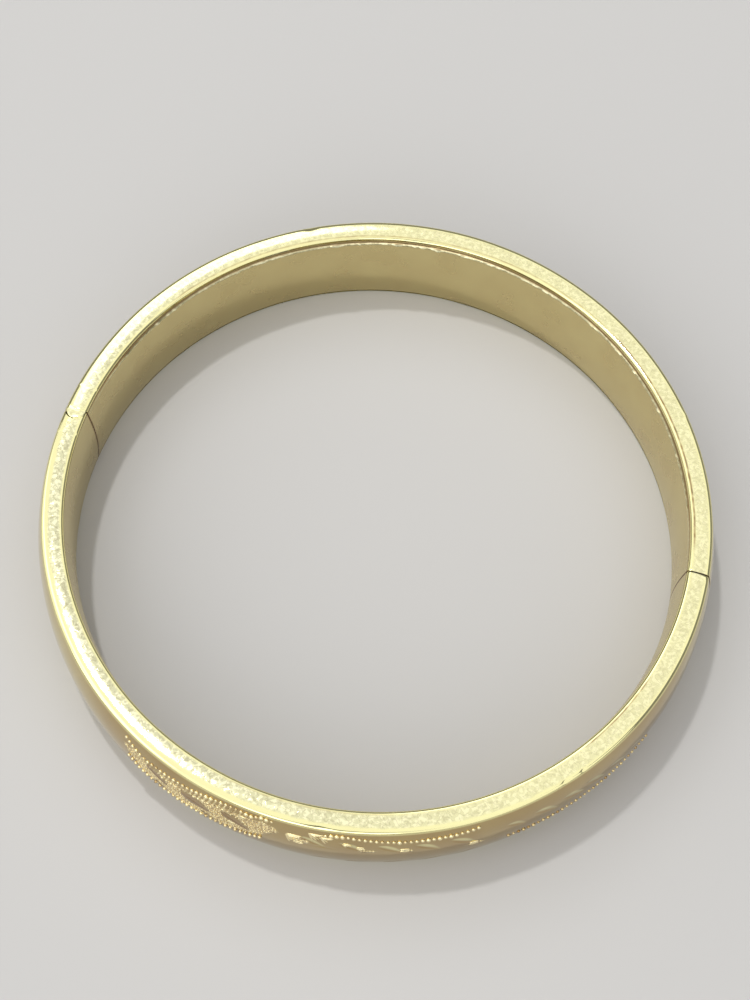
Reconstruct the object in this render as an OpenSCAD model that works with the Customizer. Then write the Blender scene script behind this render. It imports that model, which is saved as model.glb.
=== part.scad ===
// Hinged bangle in gold-filled sheet, closed and lying on its flat edge.
// Two hollow halves: each is a domed outer shell with a lining set between its rims.
// The origin is the centre of the ring on the surface it lies on, +Z is the ring's axis.
// The front half is the engraved one, on the -Y side. The hinge is at -X, the clasp at +X.

/* [Band] */
// Outer radius at the flat edges
edge_radius = 32; // [29:0.5:36]
// Height of the band from edge to edge
band_height = 10.4; // [9:0.1:12]
// Width of the flat edges
edge_width = 2; // [1.9:0.1:2.6]
// Bulge of the outer wall at mid height
outer_crown = 0.85; // [0.4:0.05:1.2]
// Bulge of the inner wall at mid height
inner_crown = 0.45; // [0.2:0.05:0.6]
// Bevel along the four rims
rim_bevel = 0.25; // [0.1:0.05:0.35]

/* [Sheet] */
// Thickness of the outer shell's sheet
shell_sheet = 0.4; // [0.3:0.05:0.5]
// Thickness of the lining's sheet
lining_sheet = 0.4; // [0.3:0.05:0.5]
// Gap between the lining and the shell's rims
lining_gap = 0.04; // [0.02:0.01:0.08]

/* [Seams] */
// Distance of the hinge and clasp seams behind the middle of the ring
seam_offset = 1.5; // [0:0.5:3]
// Gap between the two closed halves
seam_gap = 0.14; // [0.1:0.02:0.3]

/* [Hinge] */
// Radius of the three knuckles
knuckle_radius = 0.95; // [0.8:0.05:0.95]
// Gap round a knuckle in the other half
knuckle_gap = 0.08; // [0.05:0.01:0.12]
// Height of the middle knuckle
middle_knuckle = 3.6; // [3:0.2:5]
// Radius of the pin
pin_radius = 0.4; // [0.35:0.05:0.45]
// Clearance round the pin in the turning knuckle
pin_clearance = 0.04; // [0.02:0.01:0.08]
// Metal that covers each end of the pin at the rims
pin_cover = 0.6; // [0.4:0.1:1]
// Angle that the front half swings open
opening = 45; // [30:5:50]
// Depth of the solid block that carries the knuckles
hinge_block = 2.6; // [2.4:0.1:3.2]

/* [Clasp] */
// Height of the spring tongue
tongue_height = 4.6; // [4:0.2:5]
// Thickness of the spring tongue
tongue_thickness = 0.7; // [0.5:0.1:0.8]
// Reach of the tongue into the back half
tongue_reach = 4; // [3:0.5:4.5]
// Length of the tongue held in the front half
tongue_root = 1.6; // [1:0.2:2]
// Gap round the tongue in its slot
slot_gap = 0.3; // [0.2:0.05:0.35]
// Thickness of the plates that close the clasp ends
end_plate = 0.6; // [0.4:0.1:0.8]

/* [Hidden] */
$fn = 128;

gold = "goldenrod";
bright_gold = "gold";

half_height = band_height / 2;
inner_radius = edge_radius - edge_width;
mid_radius = edge_radius - edge_width / 2;

// Radius of the arc that has this bulge between the two edges
function crown_arc(bulge) = (half_height * half_height + bulge * bulge) / (2 * bulge);
outer_arc = crown_arc(outer_crown);
inner_arc = crown_arc(inner_crown);
outer_arc_x = edge_radius + outer_crown - outer_arc;
inner_arc_x = inner_radius - inner_crown + inner_arc;

// Both the hinge axis and the middle of the clasp lie on the seam line
axis_x = sqrt(mid_radius * mid_radius - seam_offset * seam_offset);
reach_out = edge_radius + outer_crown + 1;
full_depth = reach_out + seam_offset;
// Each half's outer wall stops at this angle from the seam, with a degree and a half to spare
notch_angle = opening / 2 + 1.5;
// A knuckle's dome runs this far under its own half's wall
rooted_angle = 60;
knuckle_split = half_height - middle_knuckle / 2;
outer_knuckle = knuckle_split - knuckle_gap;
// A fixed pin fits its knuckles closely
pin_seat = 0.01;
// Overlap that makes cuts run clear of a face
over = 1;

// Cross-section of the band as one solid piece: two domed walls and two bevelled flat edges
module band_section() {
    intersection() {
        translate([outer_arc_x, half_height]) circle(outer_arc);
        translate([inner_arc_x, half_height]) circle(inner_arc);
        polygon([
            [inner_radius - inner_crown - over, rim_bevel + inner_crown + over],
            [inner_radius + rim_bevel, 0],
            [edge_radius - rim_bevel, 0],
            [edge_radius + outer_crown + over, rim_bevel + outer_crown + over],
            [edge_radius + outer_crown + over, band_height - rim_bevel - outer_crown - over],
            [edge_radius - rim_bevel, band_height],
            [inner_radius + rim_bevel, band_height],
            [inner_radius - inner_crown - over, band_height - rim_bevel - inner_crown - over],
        ]);
    }
}

// The strip of the inner wall that the lining fills between the rims, grown by a gap for its room
module lining_strip(gap) {
    rim = shell_sheet + lining_gap - gap;
    difference() {
        translate([inner_radius - inner_crown - over, rim])
            square([edge_width + over, band_height - 2 * rim]);
        translate([inner_arc_x, half_height]) circle(inner_arc - lining_sheet - gap);
    }
}

module lining_section() {
    intersection() {
        band_section();
        lining_strip(0);
    }
}

// Everything of the section outside the lining: the rims reach round to the inner wall
module filled_shell_section() {
    difference() {
        band_section();
        lining_strip(lining_gap);
    }
}

// The hollow inside the shell's sheet, run on past the lining's side
module hollow_section() {
    intersection() {
        translate([outer_arc_x, half_height]) circle(outer_arc - shell_sheet);
        translate([inner_radius - inner_crown - over, shell_sheet])
            square([reach_out, band_height - 2 * shell_sheet]);
    }
}

// The space of one half: side is 1 for the back half, -1 for the front half.
// It starts this far from the seam line, and can be kept between two values of x.
module half_space(side, start, x_from = -reach_out, x_to = reach_out) {
    y = seam_offset + side * start;
    translate([x_from, side > 0 ? y : y - full_depth, -over])
        cube([x_to - x_from, full_depth, band_height + 2 * over]);
}

module hinge_axis() {
    translate([-axis_x, seam_offset, 0]) children();
}

// A wedge that opens outward from the hinge axis, between angles to the back and the front
module outward_wedge(back_angle, front_angle) {
    length = edge_width + outer_crown + over;
    hinge_axis()
        translate([0, 0, -over])
            linear_extrude(band_height + 2 * over)
                polygon([
                    [0, 0],
                    [-length, length * tan(back_angle)],
                    [-length, -length * tan(front_angle)],
                ]);
}

// A dome turned about the hinge axis, tangent to the outer wall at every height
module knuckle_dome() {
    hinge_axis()
        rotate_extrude()
            intersection() {
                translate([-mid_radius, 0]) band_section();
                square([reach_out, band_height]);
            }
}

// One knuckle from z_from to z_to: a round tube, and a dome that closes the outer wall over it
module knuckle(z_from, z_to, back_angle, front_angle) {
    height = z_to - z_from;
    hinge_axis() translate([0, 0, z_from]) cylinder(r = knuckle_radius, h = height);
    intersection() {
        knuckle_dome();
        outward_wedge(back_angle, front_angle);
        hinge_axis() translate([0, 0, z_from]) cylinder(r = reach_out, h = height);
    }
}

// Room for the round tubes of all the knuckles, which the linings also clear
module knuckle_tube_room() {
    hinge_axis()
        translate([0, 0, -over])
            cylinder(r = knuckle_radius + knuckle_gap, h = band_height + 2 * over);
}

// Room in one half for the other half's knuckle from z_from to z_to, in every position
module knuckle_room(z_from, z_to) {
    height = z_to - z_from + 2 * knuckle_gap;
    hinge_axis() translate([0, 0, z_from - knuckle_gap]) {
        cylinder(r = knuckle_radius + knuckle_gap, h = height);
        intersection() {
            translate([0, 0, knuckle_gap - z_from])
                rotate_extrude()
                    intersection() {
                        translate([outer_arc_x - mid_radius, half_height])
                            circle(outer_arc + knuckle_gap);
                        translate([0, -2 * over]) square([reach_out, band_height + 4 * over]);
                    }
            translate([-reach_out, -reach_out, 0]) cube([reach_out, 2 * reach_out, height]);
        }
    }
}

// The pin's outline, grown by a clearance where it is a hole
module pin_rod(clearance) {
    hinge_axis()
        translate([0, 0, pin_cover - clearance])
            cylinder(r = pin_radius + clearance, h = band_height - 2 * (pin_cover - clearance));
}

// A section spun into a ring and cut to one half. The line where the spinning starts is
// turned into the other half, so it crosses none of this half's faces.
module half_band(side) {
    intersection() {
        rotate([0, 0, side * 90]) rotate_extrude() children();
        half_space(side, seam_gap / 2);
    }
}

// One half without knuckles: the shell is hollow between its hinge block and its end plate
module half_shell(side) {
    difference() {
        half_band(side) filled_shell_section();
        intersection() {
            rotate([0, 0, side * 90]) rotate_extrude() hollow_section();
            union() {
                half_space(side, seam_gap / 2 + hinge_block, x_to = 0);
                half_space(side, seam_gap / 2 + end_plate, x_from = 0);
            }
        }
    }
}

// The tongue's outline, grown by a gap where it is a slot
module tongue_block(gap) {
    translate([
        axis_x - tongue_thickness / 2 - gap,
        seam_offset - seam_gap / 2 - tongue_root - gap,
        half_height - tongue_height / 2 - gap,
    ])
        cube([
            tongue_thickness + 2 * gap,
            tongue_root + seam_gap + tongue_reach + 2 * gap,
            tongue_height + 2 * gap,
        ]);
}

// Plain half, with the two outer knuckles and the slot for the tongue
module back_shell() {
    color(gold)
    difference() {
        union() {
            difference() {
                half_shell(1);
                outward_wedge(notch_angle, notch_angle);
                knuckle_room(knuckle_split, band_height - knuckle_split);
            }
            knuckle(0, outer_knuckle, rooted_angle, notch_angle);
            knuckle(band_height - outer_knuckle, band_height, rooted_angle, notch_angle);
        }
        pin_rod(pin_seat);
        tongue_block(slot_gap);
    }
}

module back_lining() {
    color(gold)
    difference() {
        half_band(1) lining_section();
        knuckle_tube_room();
    }
}

// Engraved half, with the middle knuckle
module front_shell() {
    color(bright_gold)
    difference() {
        union() {
            difference() {
                half_shell(-1);
                outward_wedge(notch_angle, notch_angle);
                knuckle_room(-over, outer_knuckle);
                knuckle_room(band_height - outer_knuckle, band_height + over);
            }
            knuckle(knuckle_split, band_height - knuckle_split, notch_angle, rooted_angle);
        }
        pin_rod(pin_clearance);
        tongue_block(pin_seat);
    }
}

module front_lining() {
    color(bright_gold)
    difference() {
        half_band(-1) lining_section();
        knuckle_tube_room();
    }
}

module hinge_pin() {
    color(gold)
    pin_rod(0);
}

module clasp_tongue() {
    color(bright_gold) tongue_block(0);
}

back_shell();
back_lining();
front_shell();
front_lining();
hinge_pin();
clasp_tongue();
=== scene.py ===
"""Hinged bangle in worn gold-filled sheet: a plain back half and an engraved front half."""
import math

import bmesh
import bpy
import numpy as np
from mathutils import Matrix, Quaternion, Vector, noise


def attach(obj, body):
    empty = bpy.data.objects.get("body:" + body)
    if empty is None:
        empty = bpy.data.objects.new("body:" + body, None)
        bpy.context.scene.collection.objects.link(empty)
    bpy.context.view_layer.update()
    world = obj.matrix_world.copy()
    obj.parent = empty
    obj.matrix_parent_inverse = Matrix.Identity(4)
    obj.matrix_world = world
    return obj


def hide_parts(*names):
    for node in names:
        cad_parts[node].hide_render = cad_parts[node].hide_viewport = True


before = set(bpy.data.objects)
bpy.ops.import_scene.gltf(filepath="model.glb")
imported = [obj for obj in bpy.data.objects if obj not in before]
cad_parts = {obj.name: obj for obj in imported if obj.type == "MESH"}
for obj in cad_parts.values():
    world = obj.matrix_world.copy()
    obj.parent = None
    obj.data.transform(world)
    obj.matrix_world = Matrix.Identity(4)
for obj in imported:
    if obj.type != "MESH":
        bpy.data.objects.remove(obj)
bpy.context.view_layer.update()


# Back half, outer shell. The real one is sheet raised to a domed outer wall, with its two rims
# turned in to meet the lining, and a solid block with two knuckles soldered into the hinge end.
# All sizes are in millimetres until the mesh is made.
MM = 0.001
BAND_HEIGHT = 10.4
HALF_HEIGHT = BAND_HEIGHT / 2
EDGE_RADIUS = 32.0
INNER_RADIUS = 30.0
MID_RADIUS = 31.0
OUTER_CROWN = 0.85
INNER_CROWN = 0.45
OUTER_ARC = (HALF_HEIGHT ** 2 + OUTER_CROWN ** 2) / (2 * OUTER_CROWN)
INNER_ARC = (HALF_HEIGHT ** 2 + INNER_CROWN ** 2) / (2 * INNER_CROWN)
SHEET = 0.4
LINING_GAP = 0.04
RIM_CORNER = 10.3           # height at which the walls would meet the upper rim
RIM_CROWN_RADIUS = 5.0      # the rims are gently rounded across their width
RIM_EDGE = 0.24             # length of the rounding at the rims' edges
ROUNDING_STEPS = 5
PLAIN_RIM_ROWS = 6
INSIDE_ROWS = 12


def outer_wall(z, inset=0.0):
    """Radius of the outer wall at a height, or of a surface inset into the metal."""
    reach = OUTER_ARC - inset
    return EDGE_RADIUS + OUTER_CROWN - OUTER_ARC + math.sqrt(reach ** 2 - (z - HALF_HEIGHT) ** 2)


def inner_wall(z, inset=0.0):
    """Radius of the inner wall at a height, or of a surface inset into the metal."""
    reach = INNER_ARC - inset
    return INNER_RADIUS - INNER_CROWN + INNER_ARC - math.sqrt(reach ** 2 - (z - HALF_HEIGHT) ** 2)


def rim_height(r):
    """Height of the upper rim's gently rounded top at a radius."""
    return BAND_HEIGHT - (r - MID_RADIUS) ** 2 / (2 * RIM_CROWN_RADIUS)


def rounded(start, corner, end):
    """Points of a rounding from start to end, both of which are left out."""
    return [tuple((1 - t) ** 2 * a + 2 * t * (1 - t) * c + t * t * b
                  for a, c, b in zip(start, corner, end))
            for t in (k / ROUNDING_STEPS for k in range(1, ROUNDING_STEPS))]


def spaced(first, last, count):
    """Evenly spaced values from first to last."""
    return [first + (last - first) * k / (count - 1) for k in range(count)]


def upper_rim(rows):
    """The turned-over edge of the shell, from the outer wall across the rim to the lining."""
    outer_corner = (outer_wall(RIM_CORNER), RIM_CORNER)
    inner_corner = (inner_wall(RIM_CORNER), RIM_CORNER)
    below = RIM_CORNER - RIM_EDGE
    wall_end, lip = (outer_wall(below), below), (inner_wall(below), below)
    rim_start, rim_end = outer_corner[0] - RIM_EDGE, inner_corner[0] + RIM_EDGE
    across = [(r, rim_height(r)) for r in spaced(rim_start, rim_end, rows)]
    return ([wall_end] + rounded(wall_end, outer_corner, across[0]) + across
            + rounded(across[-1], inner_corner, lip) + [lip])


def mirrored(points):
    """The same points at the lower rim, in the order that goes on from the inside out."""
    return [(r, BAND_HEIGHT - z) for r, z in reversed(points)]


def shell_section(wall_rows, rim_rows, filled):
    """The shell's section as one closed line: lower rim, outer wall, upper rim, inside."""
    lower, upper = mirrored(upper_rim(PLAIN_RIM_ROWS)), upper_rim(rim_rows)
    wall = [(outer_wall(z), z) for z in spaced(lower[-1][1], upper[0][1], wall_rows)[1:-1]]
    heights = spaced(BAND_HEIGHT - SHEET, SHEET, INSIDE_ROWS)
    if filled:      # solid up to the strip that the lining fills
        inside = [(inner_wall(z, SHEET + LINING_GAP), z) for z in heights]
    else:
        inside = [(outer_wall(z, SHEET), z) for z in heights]
    section = lower + wall + upper + inside
    parts = (["lower"] * len(lower) + ["wall"] * len(wall) + ["upper"] * len(upper)
             + ["inside"] * len(inside))
    return section, parts


SIDE_BACK, SIDE_FRONT = 1, -1
SEAM_Y = 1.5
HALF_SEAM = 0.04
SEAM_TURN = 4.0             # the sections turn into the seam's plane over this length
SEAM_EASE = 0.16            # the seam's edges are eased over this length
SEAM_EASE_DEPTH = 0.04
EASED_PLACES = (0.0, 0.03, 0.08, SEAM_EASE)
NEAREST_COLUMN = 0.04
CLASP_WEAR_REACH = 0.8
HINGE_BLOCK = 2.6
END_PLATE = 0.6
WALL_SHADE = 0.55           # painted shade: the walls are darker than the rubbed rims, standing in for the dark surroundings they mirror
SEAM_SHADE = 1.3            # painted shade: the faces within the seams are darker still, standing in for the shade in the gaps, with some grime
MARKS = ("matted", "worn", "shaded")


def seam_azimuth(side, at_hinge, r):
    """Azimuth at which a half's end plane, parallel to the seam line, cuts a radius."""
    turn = math.asin((SEAM_Y + side * HALF_SEAM) / r)
    if not at_hinge:
        return turn
    return (math.pi if side == SIDE_BACK else -math.pi) - turn


def half_run(side):
    """A half's length at its mid radius, and a function that gives the azimuth at a distance
    along it and a radius. The front half starts at the hinge and the back half at the clasp."""
    start_at_hinge = side == SIDE_FRONT
    first = seam_azimuth(side, start_at_hinge, MID_RADIUS)
    last = seam_azimuth(side, not start_at_hinge, MID_RADIUS)
    length = (last - first) * MID_RADIUS

    def azimuth_at(s, r):
        to_start, to_end = max(0.0, 1 - s / SEAM_TURN), max(0.0, 1 - (length - s) / SEAM_TURN)
        return (first + s / MID_RADIUS
                + to_start * (seam_azimuth(side, start_at_hinge, r) - first)
                + to_end * (seam_azimuth(side, not start_at_hinge, r) - last))

    return length, azimuth_at


def column_places(length, spacing_at, doubled):
    """Distances of the section columns along a half, closer where spacing_at says so."""
    places, s = list(EASED_PLACES), SEAM_EASE
    while s < length - SEAM_EASE - spacing_at(s):
        s += spacing_at(s)
        places.append(s)
    places += [length - place for place in reversed(EASED_PLACES)]
    kept = [p for p in places if all(abs(p - d) > NEAREST_COLUMN for d, _ in doubled)]
    rows = [(p, None) for p in kept]
    for place, change in doubled:       # where block or plate ends, one column for each side
        rows += [(place, change[0]), (place, change[1])]
    return sorted(rows, key=lambda row: row[0])


def soft_step(value, low, high):
    """Rises smoothly from 0 at low to 1 at high."""
    t = min(1.0, max(0.0, (value - low) / (high - low)))
    return t * t * (3 - 2 * t)


def seam_wear(hinge_distance, clasp_distance, r, clasp_rounding):
    """How far the skin is eased at the two seams, and worn round outside at the clasp."""
    nearest = min(hinge_distance, clasp_distance)
    eased = SEAM_EASE_DEPTH * max(0.0, 1 - nearest / SEAM_EASE) ** 2
    near_clasp = max(0.0, 1 - clasp_distance / CLASP_WEAR_REACH)
    return clasp_rounding * near_clasp ** 2 * soft_step(r, MID_RADIUS, EDGE_RADIUS) + eased


def sweep_half(side, wall_rows, rim_rows, spacing_at, relief, clasp_rounding):
    """Sweeps the shell's section from one seam to the other and returns its columns of points."""
    length, azimuth_at = half_run(side)
    start_at_hinge = side == SIDE_FRONT
    solid, parts = shell_section(wall_rows, rim_rows, True)
    hollow, _ = shell_section(wall_rows, rim_rows, False)
    block, plate = (HINGE_BLOCK, END_PLATE) if start_at_hinge else (END_PLATE, HINGE_BLOCK)
    doubled = [(block, (True, False)), (length - plate, (False, True))]
    columns = []
    for s, given in column_places(length, spacing_at, doubled):
        is_filled = given if given is not None else (s < block or s > length - plate)
        section = solid if is_filled else hollow
        hinge_distance = s if start_at_hinge else length - s
        clasp_distance = length - s if start_at_hinge else s
        column = []
        for k, ((r, z), part) in enumerate(zip(section, parts)):
            before, after = section[k - 1], section[(k + 1) % len(section)]
            across = Vector((after[1] - before[1], before[0] - after[0])).normalized()
            azimuth = azimuth_at(s, r)
            lift, marks = relief(math.degrees(azimuth), r, z, part, hinge_distance)
            if s in (0.0, length):      # the end faces are painted dark: grime and painted shade in the seam
                marks = (0.0, 0.0, SEAM_SHADE)
            if part != "inside":
                lift -= seam_wear(hinge_distance, clasp_distance, r, clasp_rounding)
            r, z = r + across.x * lift, z + across.y * lift
            column.append((Vector((r * math.cos(azimuth), r * math.sin(azimuth), z)), marks))
        columns.append((s, column))
    return columns, length


def swept_mesh(name, columns, close_start=True, close_end=True):
    """Skin over columns of points, with its ends closed, and the marks kept as attributes."""
    mesh = bpy.data.meshes.new(name)
    size = len(columns[0])
    points = [p for column in columns for p, _ in column]
    faces = []
    for c in range(len(columns) - 1):
        here, there = c * size, (c + 1) * size
        for k in range(size):
            n = (k + 1) % size
            faces.append((here + k, there + k, there + n, here + n))
    if close_start:
        faces.append(tuple(range(size)))
    if close_end:
        faces.append(tuple(range(len(points) - 1, len(points) - size - 1, -1)))
    mesh.from_pydata([tuple(p * MM) for p in points], [], faces)
    for index, mark in enumerate(MARKS):
        attribute = mesh.attributes.new(mark, "FLOAT", "POINT")
        values = [marks[index] for column in columns for _, marks in column]
        attribute.data.foreach_set("value", np.array(values, np.float32))
    return mesh


def new_piece(name, mesh):
    """An object for a mesh, in the scene."""
    piece = bpy.data.objects.new(name, mesh)
    bpy.context.scene.collection.objects.link(piece)
    return piece


def cut(mesh, steps):
    """Carves and joins solids on a closed mesh, and returns the result."""
    work = new_piece("work", mesh)
    tools = []
    for operation, tool_mesh in steps:
        tool = new_piece("tool", tool_mesh)
        modifier = work.modifiers.new("step", "BOOLEAN")
        modifier.operation, modifier.object, modifier.solver = operation, tool, "MANIFOLD"
        tools.append(tool)
    bpy.context.view_layer.update()
    evaluated = work.evaluated_get(bpy.context.evaluated_depsgraph_get())
    result = bpy.data.meshes.new_from_object(evaluated)
    result.materials.clear()
    for extra in [work] + tools:
        bpy.data.objects.remove(extra)
    return result


def prism(outline, bottom, top):
    """Upright prism over an outline that runs anticlockwise seen from above."""
    mesh = bpy.data.meshes.new("prism")
    n = len(outline)
    points = [(x * MM, y * MM, z * MM) for z in (bottom, top) for x, y in outline]
    sides = [(k, (k + 1) % n, n + (k + 1) % n, n + k) for k in range(n)]
    mesh.from_pydata(points, [], sides + [tuple(range(n - 1, -1, -1)), tuple(range(n, 2 * n))])
    return mesh


AXIS_X = -math.sqrt(MID_RADIUS ** 2 - SEAM_Y ** 2)
KNUCKLE_RADIUS = 0.95
KNUCKLE_GAP = 0.05
MIDDLE_KNUCKLE = 3.6
KNUCKLE_SPLIT = HALF_HEIGHT - MIDDLE_KNUCKLE / 2
OUTER_KNUCKLE = KNUCKLE_SPLIT - KNUCKLE_GAP
NOTCH_ANGLE = 24            # each half's outer wall stops at this angle from the seam
ROOTED_ANGLE = 60           # a knuckle's dome runs this far under its own half's wall
PIN_RADIUS = 0.4
PIN_COVER = 0.6
PIN_CLEARANCE = 0.04
PIN_ROOM = PIN_RADIUS + PIN_CLEARANCE
HAIR = 0.015                # keeps faces of joined solids from lying in one plane
CLEAR = 1.0                 # cuts run this far past the rims
WEDGE_LENGTH = 4.0
FILED = 0.03                # the outer knuckles' ends are filed this far below the rims
FILED_FLAT = 0.45           # and lose this share of the rims' rounding
DOME_ROWS, ROOM_ROWS = 14, 16
DOME_TURNS, TUBE_TURNS, DRUM_TURN = 25, 46, 6
SAME_PLACE, JOINT_REACH = 1e-8, 2e-7    # in metres: corners as near as this become one


def turned(rings):
    """Closed solid turned about the hinge axis, from (angle, outline) pairs all the way round.
    Angles run from the way out towards the back, and two rings may share one angle."""
    points, faces = [], []
    size = len(rings[0][1])
    for angle, outline in rings:
        turn = math.radians(180 - angle)
        for reach, z in outline:
            points.append(((AXIS_X + reach * math.cos(turn)) * MM,
                           (SEAM_Y + reach * math.sin(turn)) * MM, z * MM))
    for c in range(len(rings)):
        here, there = c * size, (c + 1) % len(rings) * size
        for k in range(size):
            n = (k + 1) % size
            faces.append((here + k, here + n, there + n, there + k))
    solid = bmesh.new()
    corners = [solid.verts.new(p) for p in points]
    for face in faces:
        solid.faces.new([corners[k] for k in face])
    bmesh.ops.remove_doubles(solid, verts=solid.verts, dist=SAME_PLACE)
    bare = [edge for edge in solid.edges if not edge.link_faces]
    bmesh.ops.delete(solid, geom=bare, context="EDGES")
    bmesh.ops.recalc_face_normals(solid, faces=solid.faces)
    mesh = bpy.data.meshes.new("turned")
    solid.to_mesh(mesh)
    solid.free()
    return mesh


def drum(reach, low, high):
    """A plain round solid about the hinge axis."""
    turns = [math.radians(angle) for angle in range(0, 360, DRUM_TURN)]
    return prism([(AXIS_X + reach * math.cos(t), SEAM_Y + reach * math.sin(t)) for t in turns],
                 low, high)


def domed_tube(dome, front_angle, back_angle, reach):
    """Solid about the hinge axis: a dome between two angles, and a tube all round the rest."""
    tube = [(min(x, reach), z) for x, z in dome]
    domed = [(angle, dome) for angle in spaced(-front_angle, back_angle, DOME_TURNS)]
    round_the_rest = spaced(back_angle, 360 - front_angle, TUBE_TURNS)
    return turned(domed + [(angle, tube) for angle in round_the_rest])


def knuckle(low, high, front_angle, back_angle):
    """One knuckle, bored for the pin: a round tube, with a dome that closes the outer wall.
    Where it reaches a rim its end is filed nearly flat, and stays lower than the rim, so the
    rim's own metal laps over it."""
    edge = RIM_EDGE + BAND_HEIGHT - RIM_CORNER
    dome = [(outer_wall(z) - MID_RADIUS, z)
            for z in spaced(max(low, edge), min(high, BAND_HEIGHT - edge), DOME_ROWS)]
    rim = [(r - MID_RADIUS, z - HAIR) for r, z in upper_rim(PLAIN_RIM_ROWS) if r > MID_RADIUS]
    rim = [(x, z + FILED_FLAT * (BAND_HEIGHT - z) - FILED if x < KNUCKLE_RADIUS else z)
           for x, z in rim]
    bore_low, bore_high = max(low, PIN_COVER), min(high, BAND_HEIGHT - PIN_COVER)
    bore = [(PIN_ROOM, bore_high), (PIN_ROOM, bore_low)]
    if low > 0:
        dome = [(KNUCKLE_RADIUS, low)] + dome
    else:
        dome = ([(0, bore_low), (0, FILED + HAIR)] + [(x, BAND_HEIGHT - z) for x, z in rim[::-1]]
                + dome)
    if high < BAND_HEIGHT:
        dome = dome + [(KNUCKLE_RADIUS, high)] + bore
    else:
        dome = dome + rim + [(0, BAND_HEIGHT - FILED - HAIR), (0, bore_high)] + bore
    return domed_tube(dome, front_angle, back_angle, KNUCKLE_RADIUS)


def knuckle_room(bottom, top):
    """Room in one half for the other half's knuckle, in every position of the hinge."""
    low = bottom - KNUCKLE_GAP if bottom > 0 else -CLEAR
    high = top + KNUCKLE_GAP if top < BAND_HEIGHT else BAND_HEIGHT + CLEAR
    reach = KNUCKLE_RADIUS + KNUCKLE_GAP
    dome = [(outer_wall(min(max(z, 0), BAND_HEIGHT)) - MID_RADIUS + KNUCKLE_GAP, z)
            for z in spaced(low, high, ROOM_ROWS)]
    return domed_tube([(0, low), (reach, low)] + dome + [(reach, high), (0, high)], 90, 90, reach)


def outward_wedge(angle):
    """The space outside the hinge axis where both halves' outer walls are cut away."""
    out, spread = AXIS_X - WEDGE_LENGTH, WEDGE_LENGTH * math.tan(math.radians(angle))
    return prism([(AXIS_X, SEAM_Y), (out, SEAM_Y + spread), (out, SEAM_Y - spread)],
                 -CLEAR, BAND_HEIGHT + CLEAR)


def hinge_steps(side):
    """What is cut from a half's hinge end for the other's knuckles, and its own knuckles."""
    steps = [("DIFFERENCE", outward_wedge(NOTCH_ANGLE)),
             ("DIFFERENCE", drum(PIN_ROOM + HAIR, PIN_COVER, BAND_HEIGHT - PIN_COVER))]
    middle = [(KNUCKLE_SPLIT, BAND_HEIGHT - KNUCKLE_SPLIT)]
    outer = [(0, OUTER_KNUCKLE), (BAND_HEIGHT - OUTER_KNUCKLE, BAND_HEIGHT)]
    own, others = (outer, middle) if side == SIDE_BACK else (middle, outer)
    for bottom, top in others:
        steps.append(("DIFFERENCE", knuckle_room(bottom, top)))
    angles = (NOTCH_ANGLE, ROOTED_ANGLE) if side == SIDE_BACK else (ROOTED_ANGLE, NOTCH_ANGLE)
    for bottom, top in own:
        steps.append(("UNION", knuckle(bottom, top, *angles)))
    return steps


TONGUE_X = 30.96
TONGUE_THICKNESS = 0.7
TONGUE_HEIGHT = 4.6
SLOT_GAP, TONGUE_SEAT = 0.3, 0.01       # room round the tongue in the back and front halves
HINGE_END, CLASP_END = 2.4, 1.2         # lengths of the two ends that are carved
SLOT_STOP = 0.2                         # the slot stops this far inside the carved end
CAP_CORNERS = 60                        # only a cap's face has more corners than this
CAP_REACH = 0.4 * MM                    # and its centre lies this near the section's own
HINGE_WEAR = 0.45                       # the rims are rubbed less at the hinge
KNUCKLE_TOP = 0.14                      # the upper knuckle's end lies within this of the rim
RIM_KEPT = 0.2                          # the rims keep their tone to this depth
DOME_SKIN = 0.02                        # a dome's corners lie this near the outer wall's arc
SHARP_EDGE = math.radians(32)


def slot_step(gap, y_from, y_to):
    """The slot for the clasp's tongue through a half's end plate."""
    half = TONGUE_THICKNESS / 2 + gap
    low = HALF_HEIGHT - TONGUE_HEIGHT / 2 - gap
    outline = [(TONGUE_X - half, y_from), (TONGUE_X + half, y_from),
               (TONGUE_X + half, y_to), (TONGUE_X - half, y_to)]
    return [("DIFFERENCE", prism(outline, low, BAND_HEIGHT - low))]


def smoothed(mesh):
    """Shades a mesh smooth, all but its sharp edges."""
    mesh.shade_smooth()
    mesh.set_sharp_from_angle(angle=SHARP_EDGE)
    return mesh


def mark_hinge(whole):
    """Wear on the upper knuckle's end, and painted shade on the walls, the seams and the knuckle
    rooms at the hinge.
    """
    rubbed, dark = (whole.verts.layers.float[mark] for mark in ("worn", "shaded"))
    for corner in whole.verts:
        x, y, z = corner.co / MM
        from_axis = math.hypot(x - AXIS_X, y - SEAM_Y)
        between_rims = RIM_KEPT < z < BAND_HEIGHT - RIM_KEPT
        if z > BAND_HEIGHT - KNUCKLE_TOP and y < SEAM_Y and from_axis < KNUCKLE_RADIUS:
            corner[rubbed] = HINGE_WEAR
        elif corner[dark] == 0 and abs(y - SEAM_Y) < HINGE_END and between_rims:
            # unmarked corners here get painted shade: the dome takes the walls' shade, the rest
            # the seams' darker shade
            on_dome = x < AXIS_X and abs(from_axis + MID_RADIUS - outer_wall(z)) < DOME_SKIN
            corner[dark] = WALL_SHADE if on_dome else SEAM_SHADE


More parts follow.
